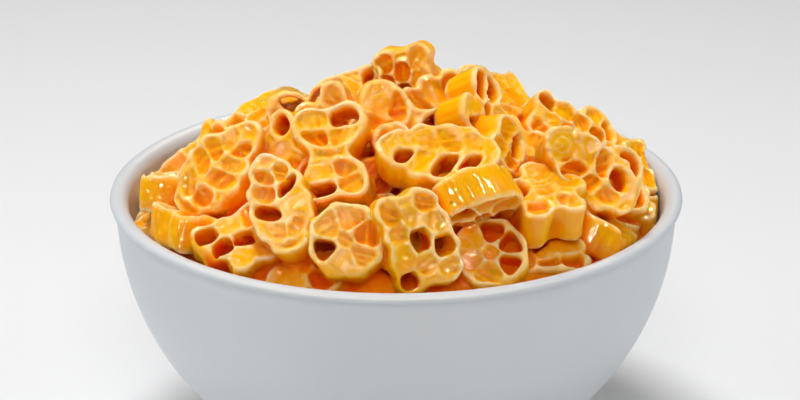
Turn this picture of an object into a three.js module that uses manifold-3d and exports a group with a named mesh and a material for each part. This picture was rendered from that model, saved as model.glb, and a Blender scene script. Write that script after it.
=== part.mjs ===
// A round white bowl heaped with shaped macaroni in cheese sauce.
// Millimetres, +Z up, origin at the centre of the bowl's foot.
import * as THREE from "three";
import { mergeVertices } from "three/addons/utils/BufferGeometryUtils.js";
import Module from "manifold-3d";

// ---------------------------------------------------------------- driving dimensions

const RIM_HEIGHT = 74; // top of the bowl's lip
const BOWL_CENTRE = RIM_HEIGHT - 3; // height of the centre that both walls are turned about
const OUTER_RADIUS = 73.4;
const WALL = 3.3;
const INNER_RADIUS = OUTER_RADIUS - WALL;
const FOOT_RADIUS = 35;
const FLOOR_HEIGHT = 6; // inside, at the middle
const BOWL_SIDES = 40;
const GAP = 0.3; // food to bowl

const MOUND_CENTRE = [2, -9]; // the heap leans a little to the front
const MOUND_CROWN = 25; // of the top layer's middle above the rim
const MOUND_REACH = 60; // from the mound's centre to where it is level with the rim
const CORE_DEPTH = 5.5; // of the core's top below the mound
const CORE_SIDES = 20;

const THICKNESS = 10.4; // of a piece of pasta
const OPEN_SHARE = 0.16; // of a chosen piece's panes that no sauce has closed

const SPOTS = 130; // places on the mound that are tried for a filler
const SPREAD = 66; // radius of the outermost place
const TRIES = 20; // ways of lying that are tried at each place
const BALL = 4.7; // radius of the balls that stand for a piece
const SINK = 1.6; // how far two balls may overlap
const PROUD = 1; // how far a ball's centre may stand above the mound
const REACH = 17; // of the longest kind from its centre
const TOO_CROWDED = 70;
const CLEAR_BEFORE = 16; // kept free in front of a chosen piece's face
const CLEAR_BESIDE = 11; // radius of that free place
const HIDING = 6; // how much more a filler in that place counts
const STICKING_OUT = 4; // how much more a filler above the mound counts
const ROUNDS = 24; // of moving crowded pieces apart
const FIRM = 0.12; // share of an overlap that a chosen piece gives way in one round
const LOOSE = 0.3; // the same for a filler

// Height of the middle of the top layer of pieces.
function mound(x, y) {
  const away = Math.hypot(x - MOUND_CENTRE[0], y - MOUND_CENTRE[1]);
  return RIM_HEIGHT + MOUND_CROWN * (1 - (away / MOUND_REACH) ** 2);
}

const radians = (degrees) => (degrees * Math.PI) / 180;

// Seeded draws from 0 to 1.
class Draws {
  constructor(seed) {
    this.state = seed;
  }
  next() {
    this.state = (this.state * 16807) % 2147483647;
    return this.state / 2147483647;
  }
  between(low, high) {
    return low + (high - low) * this.next();
  }
}

// ---------------------------------------------------------------- outlines of the pasta kinds

// Each kind gives its outline and the corners of its panes, the places that may be open right through.

function polar(radius, degrees, centre = [0, 0]) {
  const a = radians(degrees);
  return [centre[0] + radius * Math.sin(a), centre[1] + radius * Math.cos(a)];
}

function ring(radius, sides) {
  return Array.from({ length: sides }, (_, i) => polar(radius, (360 * i) / sides));
}

const CORNERS = [[1, 0.95], [0.93, -1], [-1, -0.93], [-0.9, 1]];

const pane = (x, y, width, height) => CORNERS.map(([u, v]) => [x + (u * width) / 2, y + (v * height) / 2]);

// Corners of a pane between two spokes.
function sector(inner, outer, middle, spreadIn, spreadOut, centre = [0, 0]) {
  return [
    polar(inner, middle - spreadIn, centre),
    polar(outer, middle - spreadOut, centre),
    polar(outer, middle + spreadOut, centre),
    polar(inner, middle + spreadIn, centre),
  ];
}

// An outline's right half, from top to bottom, and its mirror image.
function mirrored(points) {
  const left = points.filter(([x]) => x > 0).reverse();
  return [...points, ...left.map(([x, y]) => [-x, y])];
}

function waffle() {
  const right = [[4.2, 13], [9.2, 10], [8.2, 0.4], [9.2, -10], [3.8, -13]];
  const panes = [];
  for (let row = 0; row < 4; row++) {
    for (const side of [-1, 1]) panes.push(pane(side * 5.1, 8.5 - 5.7 * row, 4.1, 4.7));
  }
  for (let row = 0; row < 3; row++) panes.push(pane(0, 5.7 - 5.7 * row, 4.1, 4.7));
  return [mirrored(right), panes];
}

function wheel() {
  const panes = [ring(1.7, 6)];
  for (let k = 0; k < 6; k++) panes.push(sector(3.2, 9.2, 60 * k + 30, 17, 25));
  return [ring(10.9, 9), panes];
}

function flower() {
  const outline = [];
  const panes = [ring(2, 6)];
  for (let k = 0; k < 5; k++) {
    const a = 72 * k;
    outline.push(polar(7, a - 36), polar(11.8, a - 15), polar(11.8, a + 15));
    panes.push([polar(3.9, a), polar(7.2, a - 22), polar(10.4, a), polar(7.2, a + 22)]);
  }
  return [outline, panes];
}

function leaf() {
  const right = [[0, 15.6], [6, 10], [9.2, 1], [8, -4.4], [7.6, -9], [0, -15]];
  const panes = [];
  for (const side of [-1, 1]) {
    for (const [y, reach] of [[7.4, 2.8], [2.4, 5], [-2.8, 5.8], [-8.2, 4]]) {
      const rise = 0.5 * reach;
      const near = side * 0.8;
      const far = side * (0.9 + reach);
      panes.push([[near, y - 1.8], [far, y - 1.7 + rise], [far, y + 1.5 + rise], [near, y + 1.9]]);
    }
  }
  return [mirrored(right), panes];
}

function bow() {
  const upper = [[0, 12.4], [5, 14.6], [9.8, 9.6]];
  const lower = upper.map(([x, y]) => [x, -y]).reverse();
  const near = [[0.8, 2.6], [4.2, 3.4], [7.6, 6.8], [0.8, 6.4]];
  const far = [[0.8, 7.6], [8.2, 8], [6.2, 12.6], [0.8, 11]];
  const panes = [];
  for (const sx of [-1, 1]) {
    for (const sy of [-1, 1]) {
      for (const corners of [near, far]) panes.push(corners.map(([x, y]) => [sx * x, sy * y]));
    }
  }
  return [mirrored([...upper, [5.6, 0], ...lower]), panes];
}

function fan() {
  const hub = [0, -11];
  const outline = [[-3.4, -10.8], [-5.6, -5.6], polar(17, -42, hub)];
  for (const a of [-32, -10.5, 10.5, 32]) outline.push(polar(21.4, a, hub));
  outline.push(polar(17, 42, hub), [5.6, -5.6], [3.4, -10.8]);
  const panes = [pane(0, -7.4, 4, 3.6)];
  for (let k = 0; k < 5; k++) {
    const a = -30 + 15 * k;
    panes.push(sector(7.4, 12.2, a, 4, 5.6, hub), sector(13.4, 18.6, a, 5, 6, hub));
  }
  return [outline, panes];
}

function trefoil() {
  const outline = [];
  const panes = [ring(1.4, 5)];
  for (let k = 0; k < 3; k++) {
    const a = 120 * k;
    const centre = polar(5.6, a);
    outline.push(polar(4.4, a - 60), ...[-76, -26, 26, 76].map((b) => polar(6.6, a + b, centre)));
    const c = Math.cos(radians(a));
    const s = Math.sin(radians(a));
    for (const side of [-1, 1]) {
      const near = side * 0.7;
      const far = side * 3.9;
      const half = [[near, -4], [far, -2.2], [far, 2.2], [near, 4]];
      panes.push(half.map(([u, v]) => [centre[0] + u * c + v * s, centre[1] - u * s + v * c]));
    }
  }
  return [outline, panes];
}

// Each kind's shape, and its half width and half height.
const KINDS = {
  waffle: [waffle, 8.5, 12.2],
  wheel: [wheel, 10.6, 10.6],
  flower: [flower, 11, 11],
  leaf: [leaf, 8.2, 14.4],
  bow: [bow, 8.6, 13.6],
  fan: [fan, 12, 10.4],
  trefoil: [trefoil, 10.8, 10.8],
};

// ---------------------------------------------------------------- where the pieces lie

// Kind, x, y, lift above the mound, and then the way that its face looks: bearing from the front,
// tilt above the horizon, and the turn of the piece about that direction.
const CHOSEN = [
  ["waffle", 3, 6, 1, -14, 10, 12],
  ["bow", 3, -22, 0, 8, 30, 66],
  ["fan", 12, -10, -1, 10, 34, 25],
  ["leaf", 11, -44, 6, 4, 56, 82],
  ["leaf", -27, -50, 5, -20, 40, 31],
  ["waffle", 3, -63, 4, 16, 22, 13],
  ["leaf", -43, -25, 3, -25, 36, -27],
  ["waffle", -39, -53, 2, -18, 52, -52],
  ["bow", -14, -39, 4, -14, 44, 17],
  ["flower", -14, -15, 0, -8, 18, 10],
  ["trefoil", -23, -9, 0, -12, 18, 190],
  ["waffle", -33, -2, 0, -70, 62, 20],
  ["fan", -42, -13, 0, -40, 40, -10],
  ["flower", -26, -25, 0, -34, 24, 20],
  ["waffle", -56, -10, 0, 165, 72, 10],
  ["flower", -55, -33, 1, 150, 66, 10],
  ["wheel", -11, -60, 1, -4, 30, 20],
  ["trefoil", -3, -36, -1, 5, 25, 0],
  ["waffle", 24, 16, -1.2, 70, 50, 60],
  ["trefoil", 22, -19, 1, 60, 30, 80],
  ["waffle", 41, -6, 0, 40, 44, 38],
  ["flower", 30, -17, -3, 10, 50, 0],
  ["leaf", 46, -31, 5, 24, 34, 40],
  ["bow", 59, 14, 0.7, 64, 50, 20],
  ["wheel", 20, -52, 3, -150, 40, 20],
  ["wheel", 25, -61, 2, 6, 50, 20],
  ["fan", 42, -53, 2, 14, 58, -60],
  ["flower", 35, -38, -3, 20, 74, 0],
  ["bow", 59, -33, 0, 110, 60, 70],
  ["waffle", 69, 13, 0.9, 160, 70, 30],
  ["bow", 28, -28, -3, 70, 20, 10],
  ["trefoil", -23, -61, -1, -30, 50, 30],
];

// The piece's own axes: z is the way that its face looks, and y is up before the turn.
function facing(bearing, tilt, turn) {
  const [a, t, s] = [bearing, tilt, turn].map(radians);
  const normal = new THREE.Vector3(Math.sin(a) * Math.cos(t), -Math.cos(a) * Math.cos(t), Math.sin(t));
  const up = new THREE.Vector3(0, 0, 1).addScaledVector(normal, -normal.z).normalize();
  const right = up.clone().cross(normal);
  const x = right.clone().multiplyScalar(Math.cos(s)).addScaledVector(up, Math.sin(s));
  const y = up.clone().multiplyScalar(Math.cos(s)).addScaledVector(right, -Math.sin(s));
  return [x, y, normal];
}

// Centres, from the piece's own, of the balls that stand for it when it looks for room.
function balls(kind, axes) {
  const [, halfWidth, halfHeight] = KINDS[kind];
  const found = [new THREE.Vector3()];
  for (let k = 0; k < 8; k++) {
    const a = radians(45 * k);
    for (const share of [1, 0.5]) {
      const point = new THREE.Vector3().addScaledVector(axes[0], share * (halfWidth - BALL) * Math.sin(a));
      found.push(point.addScaledVector(axes[1], share * (halfHeight - BALL) * Math.cos(a)));
    }
  }
  return found;
}

// Moves the centre towards the bowl's axis until every ball is inside the bowl.
function keepIn(centre, offsets) {
  const limit = INNER_RADIUS - GAP - BALL;
  for (let round = 0; round < 8; round++) {
    let worst = 0;
    let away = null;
    for (const offset of offsets) {
      const point = centre.clone().add(offset);
      point.z = Math.min(point.z - BOWL_CENTRE, 0);
      const over = point.length() - limit;
      if (over > worst) {
        worst = over;
        away = point;
      }
    }
    if (!away) break;
    centre.addScaledVector(away.normalize(), -(worst + 0.01));
  }
  return centre;
}

// How far a ball stands too high.
const aboveMound = (point) => point.z - mound(point.x, point.y) - PROUD;

// How much the balls push into other pieces, hide a chosen one or stick out of the mound.
function crowding(centre, offsets, taken, shown) {
  let score = 0;
  for (const offset of offsets) {
    const point = centre.clone().add(offset);
    for (const other of taken) score += Math.max(2 * BALL - SINK - point.distanceTo(other), 0) ** 2;
    score += STICKING_OUT * Math.max(aboveMound(point), 0) ** 2;
    for (const piece of shown) {
      const from = point.clone().sub(piece.centre);
      const [x, y, z] = piece.axes.map((axis) => from.dot(axis));
      const beside = Math.hypot(x, y);
      if (z > 0 && z < CLEAR_BEFORE) score += HIDING * Math.max(CLEAR_BESIDE - beside, 0);
    }
  }
  return score;
}

// How far the piece is pushed by the others that its balls cut into.
function push(piece, pieces) {
  const total = new THREE.Vector3();
  for (const other of pieces) {
    if (other === piece || piece.centre.distanceTo(other.centre) > 2 * REACH) continue;
    const pair = new THREE.Vector3();
    let deepest = 0;
    for (const near of piece.offsets) {
      for (const far of other.offsets) {
        const apart = near.clone().add(piece.centre).sub(far).sub(other.centre);
        const over = 2 * BALL - SINK - apart.length();
        if (over <= 0) continue;
        pair.addScaledVector(apart.normalize(), over);
        deepest = Math.max(deepest, over);
      }
    }
    if (deepest > 0) total.addScaledVector(pair.normalize(), deepest);
  }
  return total;
}

// Moves the pieces apart, a little at a time, so that they lie against each other.
function settle(pieces) {
  for (let round = 0; round < ROUNDS; round++) {
    const pushes = pieces.map((piece) => push(piece, pieces));
    pieces.forEach((piece, i) => {
      piece.centre.addScaledVector(pushes[i], i < CHOSEN.length ? FIRM : LOOSE);
      if (i >= CHOSEN.length) {
        const heights = piece.offsets.map((offset) => aboveMound(offset.clone().add(piece.centre)));
        piece.centre.z -= Math.max(...heights, 0);
      }
      keepIn(piece.centre, piece.offsets);
    });
  }
}

// Every piece as its kind, centre and axes: the chosen ones, then fillers where there is room.
function placements() {
  const placed = [];
  for (const [kind, x, y, lift, bearing, tilt, turn] of CHOSEN) {
    const axes = facing(bearing, tilt, turn);
    const offsets = balls(kind, axes);
    const centre = keepIn(new THREE.Vector3(x, y, mound(x, y) + lift), offsets);
    placed.push({ kind, centre, axes, offsets });
  }
  settle(placed);
  const shown = [...placed];
  const ballsOf = ({ centre, offsets }) => offsets.map((offset) => offset.clone().add(centre));
  const taken = placed.flatMap(ballsOf);
  const draw = new Draws(11);
  const names = Object.keys(KINDS);
  for (let i = 0; i < SPOTS; i++) {
    const r = SPREAD * Math.sqrt((i + 0.5) / SPOTS);
    const a = 2.39996 * i;
    let best = null;
    for (let k = 0; k < TRIES; k++) {
      const kind = names[Math.floor(draw.next() * names.length)];
      const bearing = (a * 180) / Math.PI + draw.between(-75, 75);
      const tilt = draw.between(25, 85);
      const axes = facing(bearing, tilt, draw.between(0, 360));
      const x = r * Math.sin(a) + draw.between(-3, 3);
      const y = -r * Math.cos(a) + draw.between(-3, 3);
      const z = mound(x, y) + draw.between(-5, 0);
      const offsets = balls(kind, axes);
      const centre = keepIn(new THREE.Vector3(x, y, z), offsets);
      const score = crowding(centre, offsets, taken, shown);
      if (!best || score < best.score) best = { score, kind, centre, axes, offsets };
    }
    if (best.score > TOO_CROWDED) continue;
    placed.push(best);
    taken.push(...ballsOf(best));
  }
  settle(placed);
  return placed;
}

// ---------------------------------------------------------------- solids

const wasm = await Module();
wasm.setup();

function solidOf(geometry) {
  geometry.deleteAttribute("normal");
  geometry.deleteAttribute("uv");
  const merged = mergeVertices(geometry, 1e-4);
  return new wasm.Manifold(
    new wasm.Mesh({
      numProp: 3,
      vertProperties: new Float32Array(merged.attributes.position.array),
      triVerts: new Uint32Array(merged.index.array),
    }),
  );
}

function geometryOf(solid) {
  const mesh = solid.getMesh();
  const geometry = new THREE.BufferGeometry();
  geometry.setAttribute("position", new THREE.BufferAttribute(new Float32Array(mesh.vertProperties), 3));
  geometry.setIndex(new THREE.BufferAttribute(new Uint32Array(mesh.triVerts), 1));
  geometry.computeVertexNormals();
  return geometry;
}

// Points of an arc about the bowl's centre, between two angles from straight down.
function wallArc(radius, fromAngle, toAngle, steps) {
  const points = [];
  for (let i = 0; i <= steps; i++) {
    const a = fromAngle + ((toAngle - fromAngle) * i) / steps;
    points.push([radius * Math.sin(a), BOWL_CENTRE - radius * Math.cos(a)]);
  }
  return points;
}

// The inside wall, from the flat floor up, or a surface that keeps a gap to it.
function insideArc(gap) {
  const start = Math.acos((BOWL_CENTRE - FLOOR_HEIGHT) / INNER_RADIUS);
  return wallArc(INNER_RADIUS - gap, start, Math.PI / 2, 6);
}

function turned(outline, sides) {
  const profile = outline.map(([r, z]) => new THREE.Vector2(r, z));
  return new THREE.LatheGeometry(profile, sides).rotateX(Math.PI / 2);
}

function bowlGeometry() {
  const outerStart = Math.asin(FOOT_RADIUS / OUTER_RADIUS);
  const foot = [[0, 2.5], [30, 2.5], [31, 0], [34, 0]];
  const lip = [[73.6, 71.5], [75, 72.6], [74.7, 73.5], [73.4, RIM_HEIGHT], [71.6, 73.6]];
  const outside = wallArc(OUTER_RADIUS, outerStart, 1.53, 7);
  return turned([...foot, ...outside, ...lip, ...insideArc(0).reverse(), [0, FLOOR_HEIGHT]], BOWL_SIDES);
}

// The space that food may take: the bowl's inside, and straight up from its brim.
function roomSolid() {
  const ceiling = 140;
  const wall = insideArc(GAP);
  const brim = wall[wall.length - 1][0];
  return solidOf(turned([[0, wall[0][1]], ...wall, [brim, ceiling], [0, ceiling]], BOWL_SIDES));
}

// The mass of buried pasta and sauce, up to a little below the middle of the top layer.
function coreSolid() {
  const reach = 84;
  const top = [];
  for (let r = reach; r > 0; r -= 21) top.push([r, mound(MOUND_CENTRE[0] + r, MOUND_CENTRE[1]) - CORE_DEPTH]);
  const outline = [[0, 0], [reach, 0], ...top, [0, mound(...MOUND_CENTRE) - CORE_DEPTH]];
  const dome = turned(outline, CORE_SIDES).translate(MOUND_CENTRE[0], MOUND_CENTRE[1], 0);
  return solidOf(dome);
}

const planar = (points) => points.map(([x, y]) => new THREE.Vector2(x, y));

// An extruded outline, counter-clockwise for three.js, with the panes that stay open.
function pastaSolid({ kind, centre, axes }, seed, isChosen) {
  const [shapeOf] = KINDS[kind];
  const [outline, panes] = shapeOf();
  const draw = new Draws(seed);
  const thickness = THICKNESS * draw.between(0.9, 1.08);
  const size = draw.between(0.92, 1.06);
  for (let skipped = 0; skipped < 4; skipped++) draw.next();
  const shape = new THREE.Shape(planar(outline).reverse());
  for (const corners of panes) {
    draw.next();
    draw.next();
    const isOpen = draw.next() < OPEN_SHARE;
    if (isOpen && isChosen) shape.holes.push(new THREE.Path(planar(corners)));
  }
  const geometry = new THREE.ExtrudeGeometry(shape, { depth: thickness, bevelEnabled: false });
  geometry.translate(0, 0, -thickness / 2).scale(size, size, 1);
  const matrix = new THREE.Matrix4().makeBasis(...axes).setPosition(centre);
  return solidOf(geometry.applyMatrix4(matrix));
}

// The largest closed shell alone: sealed hollows between the pieces are filled and loose scraps dropped.
function largestShell(solid) {
  const shells = solid.decompose();
  return shells.reduce((best, shell) => (shell.volume() > best.volume() ? shell : best));
}

function heapGeometry() {
  let heap = coreSolid();
  placements().forEach((piece, index) => {
    heap = heap.add(pastaSolid(piece, 101 + 17 * index, index < CHOSEN.length));
  });
  return geometryOf(largestShell(heap.intersect(roomSolid())));
}

// ---------------------------------------------------------------- the part

const group = new THREE.Group();

const glaze = new THREE.MeshStandardMaterial({ color: 0xe6e7ea, roughness: 0.25 });
const bowl = new THREE.Mesh(bowlGeometry(), glaze);
bowl.name = "bowl";
group.add(bowl);

const cheesyPasta = new THREE.MeshStandardMaterial({ color: 0xf0a52c, roughness: 0.3 });
const heap = new THREE.Mesh(heapGeometry(), cheesyPasta);
heap.name = "macaroni_heap";
group.add(heap);

export default group;
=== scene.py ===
"""A white bowl heaped with shaped macaroni in cheese sauce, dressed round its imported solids.

Lengths are millimetres in the code below, and become metres where a mesh is made. The lights and the
camera are placed in metres.
"""

import math
from functools import cache

import bpy
import numpy as np
import openvdb
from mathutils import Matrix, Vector


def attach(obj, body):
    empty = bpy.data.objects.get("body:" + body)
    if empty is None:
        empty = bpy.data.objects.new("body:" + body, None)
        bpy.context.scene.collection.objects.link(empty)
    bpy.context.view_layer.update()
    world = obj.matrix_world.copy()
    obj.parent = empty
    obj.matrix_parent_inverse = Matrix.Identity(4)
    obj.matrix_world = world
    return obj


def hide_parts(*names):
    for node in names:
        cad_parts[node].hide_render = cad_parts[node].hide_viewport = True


MM = 0.001

# ---------------------------------------------------------------- driving sizes

RIM_HEIGHT = 74.0  # top of the bowl's lip
BOWL_CENTRE = RIM_HEIGHT - 3.0  # height of the centre that both walls are turned about
OUTER_RADIUS = 73.4
WALL = 3.3
INNER_RADIUS = OUTER_RADIUS - WALL
FOOT_RADIUS = 35.0
FOOT_RECESS = 2.5  # of the underside inside the foot ring
FLOOR_HEIGHT = 6.0  # inside, at the middle
WALL_TOP = 1.53  # radians from straight down to where the outside wall meets the lip
LIP_OUTSIDE = ((0.2, -2.5), (0.8, -2.2), (1.4, -1.8), (1.6, -1.2), (1.4, -0.6), (0.8, -0.2))
LIP_INSIDE = ((0.0, 0.0), (-1.0, -0.1), (-2.0, -0.5), (-2.8, -1.3))  # both from the wall and the rim
WALL_STEPS = 40
BOWL_SIDES = 192
GAP = 0.3  # food to bowl

MOUND_CENTRE = (2.0, -9.0)  # the heap leans a little to the front
MOUND_CROWN = 25.0  # of the top layer's middle above the rim
MOUND_REACH = 60.0  # from the mound's centre to where it is level with the rim
CORE_DEPTH = 5.5  # of the core's top below the mound
CORE_LUMPS = 1.2  # height of the core's lumps

THICKNESS = 10.4  # of a piece of pasta
THICKNESSES = (0.9, 1.08)  # least and most of a piece, as shares of that
SIZES = (0.92, 1.06)  # the same for its outline
BENDS = (0.008, 0.012, 0.008)  # most that its middle rises for x squared, y squared and x times y
FIRST_SEED = 101  # of the pieces' draws
NEXT_SEED = 17  # from one piece's seed to the next one's

# ---------------------------------------------------------------- sizes for laying the pieces

FILLER_SEED = 11
SPOTS = 130  # places on the mound that are tried for a filler
SPREAD = 66.0  # radius of the outermost place
GOLDEN_ANGLE = 2.39996  # radians from one place to the next
TRIES = 20  # ways of lying that are tried at each place
SWING = 75  # degrees that a filler may face away from straight outwards
TILTS = (25, 85)  # degrees above the horizon that a filler may face
STRAY = 3  # of a filler from its place, along x and y
DROP = 5  # of a filler below the mound, at most
BALL = 4.7  # radius of the balls that stand for a piece
SINK = 1.6  # how far two balls may overlap
PROUD = 1.0  # how far a ball's centre may stand above the mound
REACH = 17.0  # of the longest kind from its centre
TOO_CROWDED = 70.0
CLEAR_BEFORE = 16  # kept free in front of a chosen piece's face
CLEAR_BESIDE = 11  # radius of that free place
HIDING = 6  # how much more a filler in that place counts
STICKING_OUT = 4  # how much more a filler above the mound counts
ROUNDS = 24  # of moving crowded pieces apart
FIRM = 0.12  # share of an overlap that a chosen piece gives way in one round
LOOSE = 0.3  # the same for a filler
NUDGES = 8  # at most, that bring a piece inside the bowl
NUDGE_PAST = 0.01  # how far each one goes past the bowl's inside

# ---------------------------------------------------------------- sizes for the relief of the pieces

OPEN_SHARE = 0.28  # of the panes that no sauce has closed
NO_WEB = -4.0  # half height of the web where no sauce closes a pane: below zero, so none at all
PANE_GROWTH = 0.45  # of a pane past the outline that its corners give
PANE_OVERLAP = 1.0  # of a pane's web under the walls round it
SHALLOWEST = 0.4  # depth of a closed pane
DEEPER = 2.2  # how much more its depth may be
RIBS_APART = 1.4  # from one rib to the next across a closed pane, and so much more
RIBS_WIDER = 0.6  # for each millimetre of its depth
RIB_HALF_WIDTH = 0.4
RIB_SHARE = 0.5  # depth over a rib as a share of the pane's

LIP_HEIGHT = 0.3  # of the raised lip round a face and round each pane
LIP_INSET = 0.8  # from the edge to the lip's crest
LIP_WIDTH = 0.5
SINKS = (0.2, 1.0)  # least and most that a face lies lower than its edges
SINK_INSET = 1.2  # from the edge to where that begins
SINK_WIDTH = 1.0

# Height of the waves, their number, and their least and greatest length.
WARP = (0.5, 4, 9, 24)  # of the outline
SWELL = (0.3, 3, 8, 16)  # of the faces
DIMPLES = (0.1, 4, 2.6, 5.0)  # of the whole surface

WEB_INSET = 0.8  # of the web from the outline
CORNER_CUTS = 2  # that round an outline's corners
WEB_PASSES = 2  # of softening the floors of the panes

# Widths of the roundings.
EDGE_ROUND = 1.0  # of a face's edges
PANE_ROUND = 0.6  # where panes come near the outline
WEB_ROUND = 0.6  # of a web's outer edge
WEB_FILLET = 0.9  # between a web and the walls round it
BOWL_ROUND = 1.2  # where the bowl's inside cuts a piece off

# Depths below a face, or inside the outline, where a tone changes, and how far it takes. The tones deep
# in the panes and holes set where shade is painted.
FACE_DEPTH, FACE_FADE = 1.2, 0.8
OPEN_DEPTH, OPEN_FADE = 1.0, 1.6
CLOSED_DEPTH, CLOSED_FADE = 2.0, 5.0
INSIDE_DEPTH, INSIDE_FADE = 1.0, 0.8

# ---------------------------------------------------------------- sizes for the grids

FLAT_STEP = 0.25  # of the grids that hold a kind's outline
FLAT_MARGIN = 3.0  # of those grids past the outline
VOXEL = 0.45  # of a piece's own grid
FACE_MARGIN = 3.0  # of that grid past the faces
EDGE_TRIM = 0.5  # of that grid, less than the flat ones
HEAP_STEP = 0.8  # of the grid that all pieces are gathered in
HEAP_LOW = (-71.0, -71.0, 46.0)
HEAP_HIGH = (71.0, 71.0, 118.0)
PASTA_ADAPTIVITY = 0.2  # how much the mesher joins small triangles where the surface is flat
SAUCE_ADAPTIVITY = 0.4
FAR = 4.0  # greatest distance that is kept in the heap's grid
CORE_SLOPE = 0.8  # turns a height above the core into about a distance from it
BURIED = 1.5  # depth below the core's top where a piece ends
SAUCE_FILLET = 1.8  # of the sauce between two pieces
SAUCE_BELOW = 0.3  # of the sauce under a piece's surface
CURVE_PASSES = 10  # of softening before a hollow is read
CREVICE_PASSES = 24  # the same for a crevice between pieces
GRAIN_ALONG = 0.12  # share of a piece's thickness in its grain, which makes streaks
GRAIN_APART = 3.7  # for each seed, so that no two pieces have the same grain
LEVEL = 0.5  # tone of a place that is neither an edge nor a hollow
TINY = 1e-12


def mound(x, y):
    """Height of the middle of the top layer of pieces."""
    across = (x - MOUND_CENTRE[0]) ** 2 + (y - MOUND_CENTRE[1]) ** 2
    return RIM_HEIGHT + MOUND_CROWN * (1 - across / MOUND_REACH**2)


def lumps(x, y):
    """Uneven lumps from -1 to 1, about as large as the ends of buried pasta."""
    along = np.sin(x / 2.9 + 1.3 * np.sin(y / 4.1))
    across = np.sin(y / 3.3 + 1.1 * np.sin(x / 3.7))
    return along * across


def core_height(x, y):
    """Top of the core that lies under the pieces."""
    return mound(x, y) - CORE_DEPTH + CORE_LUMPS * lumps(x, y)


def past_bowl(x, y, z):
    """Distance past the surface that keeps a gap to the bowl's inside, below zero inside it."""
    depth = np.minimum(z - BOWL_CENTRE, 0)
    return np.sqrt(x * x + y * y + depth * depth) - (INNER_RADIUS - GAP)


class Draws:
    """Park and Miller's seeded draws from 0 to 1, the same as in the solids' source."""

    FACTOR = 16807
    MODULUS = 2147483647

    def __init__(self, seed):
        self.state = seed

    def next(self):
        self.state = self.state * self.FACTOR % self.MODULUS
        return self.state / self.MODULUS

    def between(self, low, high):
        return low + (high - low) * self.next()


# ---------------------------------------------------------------- outlines of the pasta kinds

# Each kind gives its outline and the corners of its panes, the places that may be open right through.


def polar(radius, degrees, centre=(0.0, 0.0)):
    """The point at an angle from straight up, clockwise."""
    a = math.radians(degrees)
    return (centre[0] + radius * math.sin(a), centre[1] + radius * math.cos(a))


def ring(radius, sides):
    """Corners of a pane about the middle."""
    return [polar(radius, 360 * i / sides) for i in range(sides)]


CORNERS = ((1.0, 0.95), (0.93, -1.0), (-1.0, -0.93), (-0.9, 1.0))


def pane(x, y, width, height):
    """Corners of a pane that rounding makes an oval."""
    return [(x + u * width / 2, y + v * height / 2) for u, v in CORNERS]


def sector(inner, outer, middle, spread_in, spread_out, centre=(0.0, 0.0)):
    """Corners of a pane between two spokes."""
    return [
        polar(inner, middle - spread_in, centre),
        polar(outer, middle - spread_out, centre),
        polar(outer, middle + spread_out, centre),
        polar(inner, middle + spread_in, centre),
    ]


def mirrored(points):
    """An outline's right half, from top to bottom, and its mirror image."""
    left = [(-x, y) for x, y in reversed(points) if x > 0]
    return points + left


def waffle():
    """A rectangle with scalloped sides and three columns of panes."""
    half_width, half_height, wave = 8.5, 12.2, 0.8
    shoulder = half_width - 1.4
    right = [(0.0, half_height - wave), (4.2, half_height + wave), (shoulder, half_height - 0.2)]
    for step in range(7):
        bulge = wave if step % 2 == 0 else -wave
        right.append((half_width + bulge, 9.6 - 3.2 * step))
    right += [(shoulder, 0.2 - half_height), (3.8, -half_height - wave), (0.0, wave - half_height)]
    column, row_step, width, height = 5.1, 5.7, 4.1, 4.7
    panes = []
    for row in range(4):
        for side in (-1, 1):
            panes.append(pane(side * column, 8.5 - row_step * row, width, height))
    for row in (1, 0, -1):
        panes.append(pane(0.0, row_step * row, width, height))
    return mirrored(right), panes


def wheel():
    """A wavy rim, and six panes between spokes round a middle one."""
    outline = [polar(11.1 if i % 2 == 0 else 9.9, 22.5 * i) for i in range(16)]
    panes = [ring(1.7, 6)]
    for a in range(30, 390, 60):
        panes.append(sector(3.2, 9.2, a, 17, 25))
    return outline, panes


def flower():
    """Five petals, each with a pane, round a middle one."""
    outline, panes = [], [ring(2.0, 6)]
    for a in range(0, 360, 72):
        outline += [polar(7.0, a - 36), polar(11.2, a - 19), polar(12.1, a), polar(11.2, a + 19)]
        panes.append([polar(3.9, a), polar(7.2, a - 22), polar(10.4, a), polar(7.2, a + 22)])
    return outline, panes


def leaf():
    """A toothed leaf with four slanting panes on each side of its vein."""
    right = [(0.0, 15.6), (3.4, 13.6), (5.8, 10.2), (5.2, 8.2), (8.6, 5.0), (7.6, 2.2), (9.3, -1.0)]
    right += [(8.0, -3.8), (8.6, -7.2), (5.4, -9.4), (5.2, -12.6), (0.0, -15.0)]
    panes = []
    for side in (-1, 1):
        for y, reach in ((7.4, 2.8), (2.4, 5.0), (-2.8, 5.8), (-8.2, 4.0)):
            rise = 0.5 * reach
            near, far = side * 0.8, side * (0.9 + reach)
            corners = [(near, y - 1.8), (far, y - 1.7 + rise), (far, y + 1.5 + rise), (near, y + 1.9)]
            panes.append(corners)
    return mirrored(right), panes


def bow():
    """Two broad ends and a narrow middle, with two panes in each quarter."""
    right = [(0.0, 12.4), (5.0, 14.6), (9.4, 12.0), (9.8, 6.6), (6.3, 2.4), (5.4, 0.0)]
    right += [(x, -y) for x, y in reversed(right[:-1])]
    near = ((0.8, 2.6), (4.2, 3.4), (7.6, 6.8), (0.8, 6.4))
    far = ((0.8, 7.6), (8.2, 8.0), (6.2, 12.6), (0.8, 11.0))
    panes = []
    for side in (-1, 1):
        for end in (-1, 1):
            panes += [[(side * x, end * y) for x, y in corners] for corners in (near, far)]
    return mirrored(right), panes


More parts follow.
